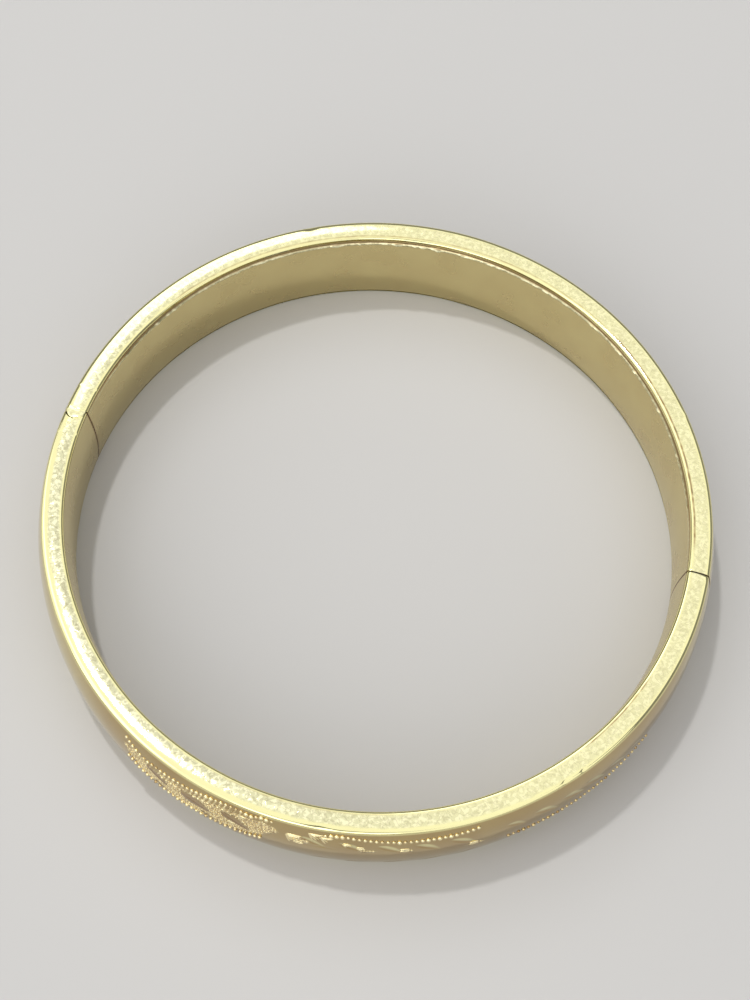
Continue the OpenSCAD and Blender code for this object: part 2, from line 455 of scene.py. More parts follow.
def finished_shell(name, side, columns, length):
    """Joins the plain sweep with its two carved ends into one closed skin."""
    hinge_first = side == SIDE_FRONT
    first_end, last_end = (HINGE_END, CLASP_END) if hinge_first else (CLASP_END, HINGE_END)
    i = next(k for k, (s, _) in enumerate(columns) if s > first_end)
    j = next(k for k, (s, _) in enumerate(columns) if s > length - last_end)
    points = [column for _, column in columns]
    start = swept_mesh("start", points[:i + 1])
    middle = swept_mesh(name, points[i:j + 1], close_start=False, close_end=False)
    end = swept_mesh("end", points[j:])
    stop = HALF_SEAM + CLASP_END - SLOT_STOP
    if side == SIDE_BACK:
        clasp_cut = slot_step(SLOT_GAP, SEAM_Y - CLEAR, SEAM_Y + stop)
    else:
        clasp_cut = slot_step(TONGUE_SEAT, SEAM_Y - stop, SEAM_Y + CLEAR)
    hinge_cut = hinge_steps(side)
    if hinge_first:
        start, end = cut(start, hinge_cut), cut(end, clasp_cut)
    else:
        start, end = cut(start, clasp_cut), cut(end, hinge_cut)
    whole = bmesh.new()
    for part, seam_column in ((start, points[i]), (middle, None), (end, points[j])):
        before = len(whole.faces)
        whole.from_mesh(part)
        if seam_column:     # the temporary cap between the carved end and the sweep goes
            seam = [p * MM for p, _ in seam_column]
            centre = sum(seam, Vector()) / len(seam)
            whole.faces.ensure_lookup_table()
            cap = [f for f in whole.faces[before:] if len(f.verts) > CAP_CORNERS
                   and (f.calc_center_median() - centre).length < CAP_REACH]
            bmesh.ops.delete(whole, geom=cap, context="FACES_ONLY")
    joints = [corner for corner in whole.verts if corner.is_boundary]
    bmesh.ops.remove_doubles(whole, verts=joints, dist=JOINT_REACH)
    bmesh.ops.recalc_face_normals(whole, faces=whole.faces)
    mark_hinge(whole)
    mesh = bpy.data.meshes.new(name)
    whole.to_mesh(mesh)
    whole.free()
    return new_piece(name, smoothed(mesh))


def wander(x, y, z, seed=0.0):
    """Smooth noise between -1 and 1 at a point in millimetres, already divided by its scale."""
    return noise.noise(Vector((x + seed, y - seed, z + 2 * seed)))


def between(value, low, high, ramp):
    """1 between low and high, falling smoothly to 0 at both over the length of the ramp."""
    return soft_step(value, low, low + ramp) * soft_step(-value, -high, ramp - high)


FAR_RIGHT = 40              # azimuth opposite the near left
RUBBED_HALF_WIDTH, NEAR_LEFT_NARROWER, NEAR_LEFT_SHIFT = 0.72, 0.14, 0.18
LEAST_RUBBED = 0.45
DENT_SIZE, DENT_DEPTH = 0.42, 0.007


def rim_wear(azimuth, r):
    """Depth of the dents along the middle of the upper rim, and how worn it is there. The near
    left of the ring is rubbed most, in a narrower band that lies closer to the lining."""
    along, over = math.radians(azimuth) * MID_RADIUS, r - MID_RADIUS
    near_left = max(0.0, -math.cos(math.radians(azimuth - FAR_RIGHT)))
    ragged = 0.10 * wander(along / 0.9, over / 0.9, 0, seed=13.1)
    half_width = RUBBED_HALF_WIDTH - NEAR_LEFT_NARROWER * near_left + ragged
    middle = max(0.0, 1 - (abs(over + NEAR_LEFT_SHIFT * near_left) / half_width) ** 6)
    if middle <= 0:
        return 0.0, 0.0
    share = LEAST_RUBBED + (1 - LEAST_RUBBED) * near_left
    pebbles = wander(along / DENT_SIZE, over / DENT_SIZE, 0, seed=7.3)
    return middle * share * DENT_DEPTH * (0.6 - pebbles), middle * share


# Along the inner edge the line where the rim was folded in is painted dark, with dirt caught there
# and painted shade of the crease: azimuths and strength
FOLDS = [(6, 56, 1.9), (-38, -18, 1.4), (-105, -70, 0.5), (54, 150, 0.8)]
FOLD_RADIUS, FOLD_WIDTH, FOLD_FADE = 30.3, 0.07, 4
# Nicks in the upper rim's outer edge, and one burr: azimuth, depth and half length
NICKS = [(34.0, -0.05, 0.30), (-39.4, 0.07, 0.30), (-42.9, 0.09, 0.40), (-84.0, 0.06, 1.20),
         (118.0, 0.05, 0.50)]
NICK_WIDTH, NICK_REACH = 0.3, 0.7


def fold_shade(azimuth, r):
    """How dark the rim is painted along the line of its fold: dirt caught there, and painted shade
    of the crease.
    """
    waver = 0.04 * wander(azimuth / 3, 0, 0, seed=8.8)
    near = math.exp(-((r - FOLD_RADIUS - waver) / FOLD_WIDTH) ** 2)
    if near < 0.01:
        return 0.0
    strength = max(depth * between(azimuth, a0, a1, FOLD_FADE) for a0, a1, depth in FOLDS)
    return near * strength * (0.7 + 0.6 * wander(azimuth / 0.9, 0, 0, seed=4.4))


def nick_depth(azimuth, r, z):
    """How deep the nicks bite at a point of the upper rim or the wall below it."""
    from_edge = math.hypot(r - EDGE_RADIUS, z - BAND_HEIGHT)
    if from_edge > NICK_REACH:
        return 0.0
    along = sum(depth * math.exp(-((azimuth - a) * math.radians(EDGE_RADIUS) / half_length) ** 2)
                for a, depth, half_length in NICKS)
    return along * math.exp(-(from_edge / NICK_WIDTH) ** 2)


WAVE_LENGTH, WAVE_HEIGHT, WAVE_DEPTH = 5, 4, 0.012
WEAR_FROM_HINGE = 3         # the rims reach their full wear at this distance
RIM_TO_WALL = (0.95, 1.25)  # between these distances from its middle the rim takes the walls' painted shade


def plain_relief(azimuth, r, z, part, hinge_distance):
    """Slow waves of handling on the walls, and the rims' wear, on the plain half. Returns how far
    the skin is lifted, and its marks: how matted, worn and shaded it is."""
    if part in ("inside", "lower"):
        return 0.0, (0.0, 0.0, 0.0)
    x, y = r * math.cos(math.radians(azimuth)), r * math.sin(math.radians(azimuth))
    waves = wander(x / WAVE_LENGTH, y / WAVE_LENGTH, z / WAVE_HEIGHT)
    lift = WAVE_DEPTH * (waves - 1) - nick_depth(azimuth, r, z)
    # the walls and the rims' edges carry the painted shade of WALL_SHADE
    worn, shaded = 0.0, WALL_SHADE
    if part == "upper":
        away = min(1.0, hinge_distance / WEAR_FROM_HINGE)
        depth, worn = rim_wear(azimuth, r)
        lift -= depth * away
        worn *= HINGE_WEAR + (1 - HINGE_WEAR) * away
        shaded = max(WALL_SHADE * soft_step(abs(r - MID_RADIUS), *RIM_TO_WALL),
                     fold_shade(azimuth, r) * away)
    return lift, (0.0, worn, shaded)


RIM_ROWS = 17
PLAIN_WALL_ROWS, PLAIN_SPACING = 26, 0.22
back_columns, back_length = sweep_half(
    SIDE_BACK, PLAIN_WALL_ROWS, RIM_ROWS, lambda s: PLAIN_SPACING, plain_relief, 0.0)
back_shell = finished_shell("back_shell_sheet", SIDE_BACK, back_columns, back_length)
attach(back_shell, "back_half")
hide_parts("back_shell")

PALE_GOLD = (0.95, 0.89, 0.46)
# the colour that tarnish and painted shade turn the gold to
TARNISH_AND_SHADE = (0.40, 0.255, 0.105)
PUNCHED = (0.97, 0.80, 0.46)
SEAM_GRIME_AND_SHADE = (0.17, 0.155, 0.07)
RUBBED_DARK, RUBBED_LIGHT = (0.62, 0.61, 0.42), (0.98, 0.95, 0.68)
SCRATCH_DIRT = (0.33, 0.28, 0.16)
POLISHED = 0.06             # roughness of the walls where they are bright
PUNCHED_ROUGHNESS = 0.34
CLOUD_ROUGHNESS, RUBBED_ROUGHNESS = 0.05, 0.04      # what clouds and rubbing add to it
# the punched ground is painted dark at each pit's centre and bright at its rim: painted shade and
# painted glints
CLOUD_STAIN, PIT_RIM_LIGHTENING, PIT_CENTRE_SHADE = 0.22, -1.7, 1.15
RUBBED_SHARE, SCRATCH_SHARE = 0.8, 0.5              # how much their colours cover the gold
GRIME_AND_SHADE_GAIN = 1.2                                    # grime and painted shade set in where the shade passes 1
PEBBLE_CONTRAST, PEBBLE_BASE = 8.0, -3.7
SCRATCH_FINENESS = 16.0
PIT_DEPTH, SCRATCH_DEPTH, PEBBLE_DEPTH = 12.0, -0.35, 0.12
# The textures' scales, for places in metres
CLOUDS, BRUSHING, PEBBLES, SCRATCHES, PUNCHES = 260.0, 2600.0, 2300.0, 1500.0, 3800.0


def gold_finish(name, roughness, satin=0.05, tone=PALE_GOLD):
    """Worn gold. Its colour and polish vary in clouds, its rubbed rims are pale and squiggled with
    fine dark lines, and its matt ground is punched all over, the pits painted dark and their rims
    painted bright. The shaded mark paints shade into its colour."""
    material = bpy.data.materials.new(name)
    material.use_nodes = True
    tree = material.node_tree
    metal = tree.nodes["Principled BSDF"]
    metal.inputs["Metallic"].default_value = 1.0

    def add(kind, **settings):
        node = tree.nodes.new(kind)
        for key, value in settings.items():
            if key in node.inputs:
                node.inputs[key].default_value = value
            else:
                setattr(node, key, value)
        return node

    def math_node(operation, *values):
        node = add("ShaderNodeMath", operation=operation)
        for socket, value in zip(node.inputs, values):
            if isinstance(value, (int, float)):
                socket.default_value = value
            else:
                tree.links.new(value, socket)
        return node.outputs[0]

    def mixed(colour, share, other):
        """One colour turned into another by a share. Each is a tuple or a node's colour."""
        node = add("ShaderNodeMix", data_type="RGBA", clamp_factor=True)
        tree.links.new(share, node.inputs[0])
        for number, value in ((6, colour), (7, other)):     # the sockets of a mix of colours
            if isinstance(value, tuple):
                node.inputs[number].default_value = (*value, 1)
            else:
                tree.links.new(value, node.inputs[number])
        return node.outputs[2]

    place = add("ShaderNodeTexCoord").outputs["Object"]
    matted, worn, shaded = (add("ShaderNodeAttribute", attribute_name=mark).outputs["Fac"]
                            for mark in MARKS)
    clouds = add("ShaderNodeTexNoise", Scale=CLOUDS, Detail=3.0)
    brushed = add("ShaderNodeMapping", vector_type="POINT")
    brushed.inputs["Scale"].default_value = (0.2, 0.2, 1.0)
    tree.links.new(place, brushed.inputs["Vector"])
    grain = add("ShaderNodeTexNoise", Scale=BRUSHING, Detail=4.0)
    tree.links.new(brushed.outputs["Vector"], grain.inputs["Vector"])
    pebbles = add("ShaderNodeTexNoise", Scale=PEBBLES, Detail=1.5)
    scratches = add("ShaderNodeTexNoise", Scale=SCRATCHES, Detail=1.5, Distortion=0.8)
    punches = add("ShaderNodeTexVoronoi", Scale=PUNCHES)
    for texture in (clouds, pebbles, scratches, punches):
        tree.links.new(place, texture.inputs["Vector"])
    cloud, fine, pit = clouds.outputs["Fac"], grain.outputs["Fac"], punches.outputs["Distance"]
    pebble = math_node("MULTIPLY_ADD", pebbles.outputs["Fac"], PEBBLE_CONTRAST, PEBBLE_BASE)
    from_line = math_node("ABSOLUTE", math_node("SUBTRACT", scratches.outputs["Fac"], 0.5))
    squiggle = math_node("MULTIPLY", worn, math_node("SUBTRACT", 1.0, math_node(
        "SMOOTH_MIN", math_node("MULTIPLY", from_line, SCRATCH_FINENESS), 1.0, 0.4)))

    # Roughness: a little uneven everywhere, matt on the punched ground, duller where it is rubbed
    dull = math_node("MULTIPLY_ADD", cloud, CLOUD_ROUGHNESS, roughness - CLOUD_ROUGHNESS / 2)
    dull = math_node("MULTIPLY_ADD", matted, PUNCHED_ROUGHNESS - roughness, dull)
    dull = math_node("MULTIPLY_ADD", worn, RUBBED_ROUGHNESS, dull)
    tree.links.new(dull, metal.inputs["Roughness"])

    # Colour: tarnish in clouds, the painted shade that the shaded mark carries, painted shade in
    # the pits and painted glints on their rims, grime and painted shade in the seams, then the
    # rims' rubbed metal
    stain_and_shade = math_node("MULTIPLY_ADD", math_node("SUBTRACT", cloud, 0.5), CLOUD_STAIN, shaded)
    pit_shade_and_glint = math_node("MULTIPLY_ADD", pit, PIT_RIM_LIGHTENING, PIT_CENTRE_SHADE)
    stain_and_shade = math_node("MULTIPLY_ADD", matted, pit_shade_and_glint, stain_and_shade)
    colour = mixed(mixed(tone, matted, PUNCHED), stain_and_shade, TARNISH_AND_SHADE)
    grime_and_shade = math_node("MULTIPLY_ADD", shaded, GRIME_AND_SHADE_GAIN, -GRIME_AND_SHADE_GAIN)
    colour = mixed(colour, grime_and_shade, SEAM_GRIME_AND_SHADE)
    rubbed = mixed(RUBBED_DARK, pebble, RUBBED_LIGHT)
    colour = mixed(colour, math_node("MULTIPLY", worn, RUBBED_SHARE), rubbed)
    colour = mixed(colour, math_node("MULTIPLY", squiggle, SCRATCH_SHARE), SCRATCH_DIRT)
    tree.links.new(colour, metal.inputs["Base Color"])

    # Bump: the satin brushing, the pits, and the rims' scratches and pebbles
    dents = math_node("MULTIPLY", pit, math_node("MULTIPLY", matted, PIT_DEPTH))
    height = math_node("MULTIPLY_ADD", fine, satin, dents)
    height = math_node("MULTIPLY_ADD", squiggle, SCRATCH_DEPTH, height)
    bumps = math_node("MULTIPLY", worn, pebble)
    height = math_node("MULTIPLY_ADD", bumps, PEBBLE_DEPTH, height)
    bump = add("ShaderNodeBump", Strength=0.35, Distance=0.02 * MM)
    tree.links.new(height, bump.inputs["Height"])
    tree.links.new(bump.outputs["Normal"], metal.inputs["Normal"])
    return material


back_shell.data.materials.append(gold_finish("plain_gold", POLISHED))


# Back half, lining. A strip domed inward and set between the shell's rims with a hair's gap. It is
# left satin from the file and the wearer's wrist.
LINING_SHEET = 0.4
LINING_EDGE = 0.05          # the strip's edges are eased by this
LINING_COLUMNS = 640
LIP_ROWS, INNER_ROWS, OUTER_ROWS = 11, 30, 8
INNER_FACE = 30.2           # the strip's points nearer the middle than this are its inner face
LIP_PLACE = 0.36            # the lip's crest lies this far below the lining's edge
LIP_WIDTH = 0.14
BURR, BURR_LUMPS = 0.15, 0.2
HAND_DENTS = 0.010
LIP_SHADE = 0.9


def lip_burr(azimuth, z, top):
    """How far the lining's hammered upper lip stands out, in short uneven burrs, how near a point
    is to the lip, and how much painted shade lies over it, on the far side only."""
    below = top - z
    lip = math.exp(-((below - LIP_PLACE) / LIP_WIDTH) ** 2)
    along = azimuth * INNER_RADIUS
    lumps = max(0.0, wander(along / 0.9, 0, 0, seed=6.1)
                + 0.45 * wander(along / 0.35, 0, 0, seed=9.7))
    far_side = soft_step(math.sin(azimuth), -0.1, 0.5)
    over_lip = soft_step(LIP_PLACE - below, -0.05, 0.15)
    return far_side * (BURR + BURR_LUMPS * lumps), lip * far_side, far_side * over_lip


def lining(name, side):
    """The strip of one half, its edges eased, cleared round the hinge knuckles."""
    bottom, top = SHEET + LINING_GAP, BAND_HEIGHT - SHEET - LINING_GAP
    lip_foot = top - 2 * LIP_PLACE
    inside = [(inner_wall(z), z) for z in spaced(top - LINING_EDGE, lip_foot, LIP_ROWS)]
    inside += [(inner_wall(z), z) for z in spaced(lip_foot, bottom + LINING_EDGE, INNER_ROWS)[1:]]
    outside = [(inner_wall(z, LINING_SHEET), z) for z in spaced(bottom, top, OUTER_ROWS)]
    section = ([(inner_wall(top) + LINING_EDGE, top)] + inside
               + [(inner_wall(bottom) + LINING_EDGE, bottom)] + outside)
    length, azimuth_at = half_run(side)
    columns = []
    for c in range(LINING_COLUMNS + 1):
        column = []
        for r, z in section:
            azimuth = azimuth_at(length * c / LINING_COLUMNS, r)
            x, y = math.cos(azimuth), math.sin(azimuth)
            # the lining carries the walls' painted shade too
            shaded, lip = WALL_SHADE, 0.0
            if r < INNER_FACE:
                burr, lip, shade_over_lip = lip_burr(azimuth, z, top)
                dents = HAND_DENTS * (wander(r * x / 6, r * y / 6, z / 5, seed=5.5) - 1)
                r -= dents + lip * burr
                # painted shade darkens the lining above the lip on the far side, and the lip is
                # painted pale: a rubbed burr and a painted highlight
                shaded += LIP_SHADE * shade_over_lip * (1 - lip) - shaded * lip
            # the strip's end faces are painted dark like the seams': grime and painted shade
            if c in (0, LINING_COLUMNS):
                lip, shaded = 0.0, SEAM_SHADE
            column.append((Vector((r * x, r * y, z)), (0.0, lip, shaded)))
        columns.append(column)
    room = drum(KNUCKLE_RADIUS + KNUCKLE_GAP, -CLEAR, BAND_HEIGHT + CLEAR)
    return new_piece(name, smoothed(cut(swept_mesh(name, columns), [("DIFFERENCE", room)])))


satin_gold = gold_finish("satin_gold", 0.27, satin=0.25)
back_lining = lining("back_lining_strip", SIDE_BACK)
back_lining.data.materials.append(satin_gold)
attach(back_lining, "back_half")
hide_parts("back_lining")


# Hinge pin. The real one is brass wire, driven through the three knuckles and covered at both rims
# by the outer knuckles' ends, so it shows only within the hinge.
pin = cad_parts["hinge_pin"]
pin.data.materials.clear()
pin.data.materials.append(gold_finish("pin_brass", 0.35))


# Front half, outer shell. Sheet like the back one, with the middle knuckle, chased and engraved by
# hand from the outside: polished leaves on a punched matt ground, and bright strokes beyond them.
# Places on the wall are charted as azimuth in degrees and height in millimetres.
WALL_MM_PER_DEGREE = math.radians(1) * 32.6
GROUND_SHADE = 0.8          # painted shade: round the engraving the wall is darker still, standing in for the dark surroundings it mirrors
PANEL_SHADE_COMES, PANEL_SHADE_GOES = (-140, -119), (-24, -4)
ENGRAVED_FROM, ENGRAVED_TO = -121, -22

# The matt ground of the first panel, between its two borders
GROUND_TOP = [(-120.0, 8.0), (-118, 8.4), (-116, 8.2), (-114, 7.8), (-111, 7.9), (-108, 8.2),
              (-105, 8.2), (-102, 8.7), (-99.5, 8.8), (-97, 8.9), (-95, 9.0), (-93, 9.2),
              (-91.2, 8.9), (-90.3, 8.0)]
GROUND_FOOT = [(-120.0, 7.8), (-118, 6.2), (-115, 4.9), (-110, 4.0), (-105, 3.9), (-100, 4.3),
               (-96, 5.0), (-93.5, 6.2), (-92, 7.0), (-90.3, 7.9)]
NO_GROUND = 9               # beyond the panel its top lies this far down and its foot this far up
# Small punched clusters on the polished metal: azimuth, height, half length, half height
CLUSTERS = [(-87.0, 7.5, 1.1, 0.7), (-70.0, 6.85, 0.7, 0.3), (-76.2, 6.9, 0.9, 0.3),
            (-58.9, 5.8, 0.9, 0.3)]
# Leaves and bright facets: root azimuth and height, tip azimuth and height, half width, bend
LEAVES = [
    (-114.9, 7.80, -109.3, 6.05, 0.62, 0.10),
    (-107.6, 7.20, -101.6, 6.20, 1.00, 0.20),
    (-100.2, 7.85, -94.6, 6.00, 0.72, 0.16),
    (-113.0, 5.50, -108.6, 4.60, 0.30, -0.10),
    (-104.0, 5.30, -99.5, 4.80, 0.30, -0.10),
]
FACETS = [
    (-87.0, 8.40, -82.5, 6.80, 0.42, 0.20),
    (-80.6, 8.30, -76.2, 6.60, 0.50, 0.20),
    (-74.5, 8.10, -70.3, 6.40, 0.50, 0.20),
    (-68.4, 8.00, -64.4, 6.30, 0.50, 0.20),
    (-62.8, 8.00, -58.4, 6.00, 0.50, 0.20),
    (-53.6, 7.80, -50.2, 6.60, 0.42, 0.20),
    (-48.6, 7.90, -44.3, 6.40, 0.50, 0.22),
    (-43.4, 7.80, -39.1, 6.30, 0.55, 0.22),
    (-38.9, 7.70, -34.6, 5.90, 0.55, 0.22),
    (-33.9, 7.20, -29.8, 5.60, 0.48, 0.20),
    (-29.0, 6.80, -25.2, 5.30, 0.40, 0.18),
    (-86.0, 2.10, -81.8, 3.70, 0.42, -0.20),
    (-79.8, 2.20, -75.6, 3.90, 0.50, -0.20),
    (-73.6, 2.30, -69.6, 4.00, 0.50, -0.20),
    (-67.6, 2.40, -63.6, 4.10, 0.50, -0.20),
    (-61.8, 2.50, -57.8, 4.20, 0.48, -0.20),
    (-53.0, 3.90, -49.6, 5.00, 0.36, -0.18),
    (-47.8, 3.80, -44.0, 4.90, 0.40, -0.18),
    (-42.6, 3.80, -38.8, 4.80, 0.40, -0.18),
    (-37.8, 3.80, -34.0, 4.70, 0.36, -0.16),
]
# Single bright cuts: start azimuth and height, end azimuth and height, width
STROKES = [
    (-90.6, 8.90, -92.6, 6.20, 0.18),
    (-85.2, 7.00, -80.4, 6.85, 0.12),
    (-56.6, 8.60, -54.6, 3.20, 0.12),
]
CHASED_DEPTH = 0.05
LEAF_REACH, LEAF_RISE = 4, 2.4          # no leaf reaches further than this from its middle
LEAF_TAPER, LEAF_EDGE, VEIN_WIDTH = 0.65, 0.16, 0.07
PUNCH_PITCH, PUNCH_DEPTH = 0.34, 0.10


def across_wall(azimuth, z, start, end):
    """Share of the way from start to end on the wall, and the distance sideways, in mm."""
    x, y = (azimuth - start[0]) * WALL_MM_PER_DEGREE, z - start[1]
    dx, dy = (end[0] - start[0]) * WALL_MM_PER_DEGREE, end[1] - start[1]
    length = math.hypot(dx, dy)
    return (x * dx + y * dy) / length ** 2, (x * dy - y * dx) / length


def leaf_place(azimuth, z, leaf):
    """How far a point lies within a leaf (0 outside, 1 well inside), how deep in its vein, and
    its place from the leaf's upper edge (-1) to its lower edge (1)."""
    a0, z0, a1, z1, half_width, bend = leaf
    if abs(azimuth - (a0 + a1) / 2) > LEAF_REACH or abs(z - (z0 + z1) / 2) > LEAF_RISE:
        return 0.0, 0.0, 0.0
    t, sideways = across_wall(azimuth, z, (a0, z0), (a1, z1))
    if not 0 < t < 1:
        return 0.0, 0.0, 0.0
    sideways += bend * 4 * t * (1 - t)
    width = half_width * math.sin(math.pi * t ** LEAF_TAPER)
    inside = soft_step(width - abs(sideways), 0.0, LEAF_EDGE)
    vein = math.exp(-(sideways / VEIN_WIDTH) ** 2) * soft_step(t, 0.08, 0.3)
    return inside, inside * vein, -sideways / max(width, 0.01)


def engraving(azimuth, z):
    """Height of the chasing at a point of the front half's wall, how matt it is, and its painted
    shade.
    """
    top = np.interp(azimuth, *zip(*GROUND_TOP), left=-NO_GROUND, right=-NO_GROUND)
    foot = np.interp(azimuth, *zip(*GROUND_FOOT), left=NO_GROUND, right=NO_GROUND)
    ragged = 0.16 * wander(azimuth / 0.8, z / 0.5, 0, seed=3.1)
    matted = soft_step(min(top - z, z - foot) + ragged, 0.0, 0.22)
    for a, height, half_length, half_height in CLUSTERS:
        away = math.hypot((azimuth - a) * WALL_MM_PER_DEGREE / half_length,
                          (z - height) / half_height)
        matted = max(matted, soft_step(1 - away + 2 * ragged, 0.0, 0.35))
    lift, shaded = 0.0, GROUND_SHADE * (1 - matted)
    for leaf in LEAVES:
        inside, vein, side = leaf_place(azimuth, z, leaf)
        if inside:      # painted shade: the leaves are darkened, darkest under the upper edge and lighter lower down
            matted *= 1 - inside
            lift += CHASED_DEPTH * (inside - vein)
            shaded = max(shaded, inside * (1.15 - 0.35 * soft_step(side, -0.4, 0.9)))
    for facet in FACETS:
        inside, _, side = leaf_place(azimuth, z, facet)
        if inside:      # a bright cut, steep above and shallow below, with painted shade above and a painted highlight below
            lift -= CHASED_DEPTH * inside * (0.5 - 0.5 * side)
            cut_painted_shade = 1.0 - 0.85 * soft_step(side, -0.9, 0.3)
            shaded += inside * (cut_painted_shade - shaded)
    for a0, z0, a1, z1, width in STROKES:
        t, sideways = across_wall(azimuth, z, (a0, z0), (a1, z1))
        if 0 < t < 1 and abs(sideways) < 2 * width:
            groove = math.exp(-(sideways / (0.5 * width)) ** 2)
            lift -= CHASED_DEPTH * groove * math.sin(math.pi * t)
    if matted:
        x = azimuth * WALL_MM_PER_DEGREE
        punched = noise.voronoi(Vector((x / PUNCH_PITCH, z / PUNCH_PITCH, 4.0)))[0][0]
        lift += matted * PUNCH_DEPTH * (min(0.5, punched) - 0.5)
    return lift, matted, shaded


def front_relief(azimuth, r, z, part, hinge_distance):
    """The plain half's waves and wear, with the engraving on the outer wall."""
    lift, marks = plain_relief(azimuth, r, z, part, hinge_distance)
    if part != "wall":
        return lift, marks
    height, matted, shaded = 0.0, 0.0, GROUND_SHADE
    if ENGRAVED_FROM < azimuth < ENGRAVED_TO:
        height, matted, shaded = engraving(azimuth, z)
    # the engraving's painted shade fades into the walls' painted shade beyond the panels
    panel_shade_share = soft_step(azimuth, *PANEL_SHADE_COMES) * (1 - soft_step(azimuth, *PANEL_SHADE_GOES))
    return lift + height, (matted, marks[1], WALL_SHADE + panel_shade_share * (shaded - WALL_SHADE))


ENGRAVED_RUN = (32.8, 88.0)             # distances from the hinge
ENGRAVED_SPACING, BARE_SPACING = 0.135, 0.24
ENGRAVED_WALL_ROWS = 76
CLASP_ROUNDING = 0.06                   # worn off the outside at the clasp


def front_spacing(s):
    """The sections stand closer along the engraving."""
    return ENGRAVED_SPACING if ENGRAVED_RUN[0] < s < ENGRAVED_RUN[1] else BARE_SPACING


front_columns, front_length = sweep_half(
    SIDE_FRONT, ENGRAVED_WALL_ROWS, RIM_ROWS, front_spacing, front_relief, CLASP_ROUNDING)
front_shell = finished_shell("front_shell_engraved", SIDE_FRONT, front_columns, front_length)
front_shell.data.materials.append(gold_finish("engraved_gold", POLISHED))
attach(front_shell, "front_half")
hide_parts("front_shell")


# Milgrain, the rows of tiny beads that border the panels, rolled up out of the wall's own metal
# with a knurled wheel. The piece also has the short lines struck below the first row, the fans
# of raised strokes and the grains of the punched ground.
BEAD_PITCH = 0.51
BEAD_HALF_WIDTH, BEAD_HALF_HEIGHT = 0.19, 0.20
BEAD_PROUD, LOWER_ROW_PROUD = 0.14, 0.22
BEAD_VARY, BIG_BEAD_GAIN = 0.05, 0.06
BEAD_FOOT = 0.03            # a bead's foot is sunk this far into the wall
BEAD_SIDES, BEAD_RINGS = 10, 4
# Rows: azimuth and height of points along them
MILGRAIN_ROWS = [
    [(-119.2, 9.2), (-117.4, 8.6), (-115, 8.2), (-112.5, 8.4), (-109, 8.6), (-106, 8.75),
     (-104, 9.1), (-101, 9.4), (-99, 9.55), (-97, 9.5), (-95, 9.35), (-93.4, 9.75), (-91.6, 9.6)],
    [(-118.4, 6.0), (-116, 5.1), (-113, 4.7), (-108, 4.4), (-104, 4.3), (-100, 4.5), (-96, 4.9),
     (-93.4, 5.5)],
    [(-84.6, 9.0), (-82.5, 9.4), (-81, 9.5), (-79.5, 9.5), (-78, 9.3), (-76, 9.15),
     (-74, 8.95), (-70, 8.8), (-65, 8.85), (-62, 8.9), (-60, 9.05), (-58.5, 9.25)],
    [(-53, 4.5), (-50, 4.3), (-44, 4.2), (-38, 4.15), (-32, 4.0), (-27, 4.1), (-24, 4.2)],
]
# The first row has struck lines below it, and the second is the first panel's lower border
LINED_ROW, LOWER_BORDER = 0, 1
LINED_FROM, LINED_TO = -114.5, -96
# Below a bead there: degrees aside, drop, half width, half height, how proud it stands, lean
STRUCK_LINE = (-0.25, 0.60, 0.13, 0.42, 0.11, 0.3)
STRUCK_DOT = (-0.45, 1.05, 0.16, 0.15, 0.12, 0.0)
# How dark each row is painted: the lower rows get painted shade
ROW_SHADES = (0.0, 0.15, 0.0, 0.35)
DULL_LEVEL, DULL_GAIN = 0.1, 0.9        # beads whose wander is below this level are dull
# Beads that the wheel struck deepest: azimuth and height
BIG_BEADS = [(-118.4, 9.35), (-115.4, 8.0), (-103.2, 9.3), (-102.3, 9.3), (-95.5, 9.3),
             (-94.6, 9.3), (-93.6, 9.9), (-92.6, 9.7), (-82.2, 9.4), (-81.5, 9.4), (-80.8, 9.4),
             (-80.1, 9.4), (-70.9, 8.9), (-66.2, 8.9), (-65.2, 8.9), (-63.4, 8.95)]
# Fans of short raised strokes: azimuth and height of the root, first and last direction in
# degrees from the wall's length, number of strokes, length of each
FANS = [
    (-89.2, 8.3, -75, 5, 6, 1.5), (-87.8, 7.0, -10, 60, 4, 0.9),
    (-85.6, 9.4, -70, -10, 5, 1.5), (-83.8, 9.1, -65, -15, 4, 1.3),
    (-80.1, 8.2, -60, 10, 3, 0.8), (-77.9, 7.6, -50, 20, 4, 0.8),
    (-71.0, 7.1, -30, 30, 4, 0.9), (-59.8, 6.1, -30, 30, 4, 0.9),
    (-98.9, 6.5, -40, 20, 3, 0.9), (-97.2, 8.9, -70, -30, 4, 1.1),
]
STROKE_HALF_WIDTH, STROKE_PROUD, STROKE_VARY = 0.11, 0.07, 0.3
# A stroke is drawn up the wall where half its rise passes this share of its length
STEEP_STROKE = 0.3
# The grains of the punched ground, in uneven rows: numbers of the lines and of places along them
GRAIN_PITCH = 0.33
GRAIN_LINES, GRAIN_PLACES = range(12, 30), range(-210, -98)
GRAIN_STRAY, GRAIN_SIZE, GRAIN_VARY = 0.3, 0.095, 0.05
GRAIN_TALL, GRAIN_PROUD = 1.5, 0.5      # half height and how proud, in half widths
GRAIN_TARNISH = 0.5
FULLY_MATTED = 0.9                      # grains stand where the ground is matted this much


def row_places(row):
    """Evenly pitched places along a row, as azimuth and height."""
    lengths = [0.0]
    for (a0, z0), (a1, z1) in zip(row, row[1:]):
        lengths.append(lengths[-1] + math.hypot((a1 - a0) * WALL_MM_PER_DEGREE, z1 - z0))
    count = round(lengths[-1] / BEAD_PITCH)
    wanted = spaced(0, lengths[-1], count + 1)
    return list(zip(np.interp(wanted, lengths, [a for a, _ in row]),
                    np.interp(wanted, lengths, [z for _, z in row])))


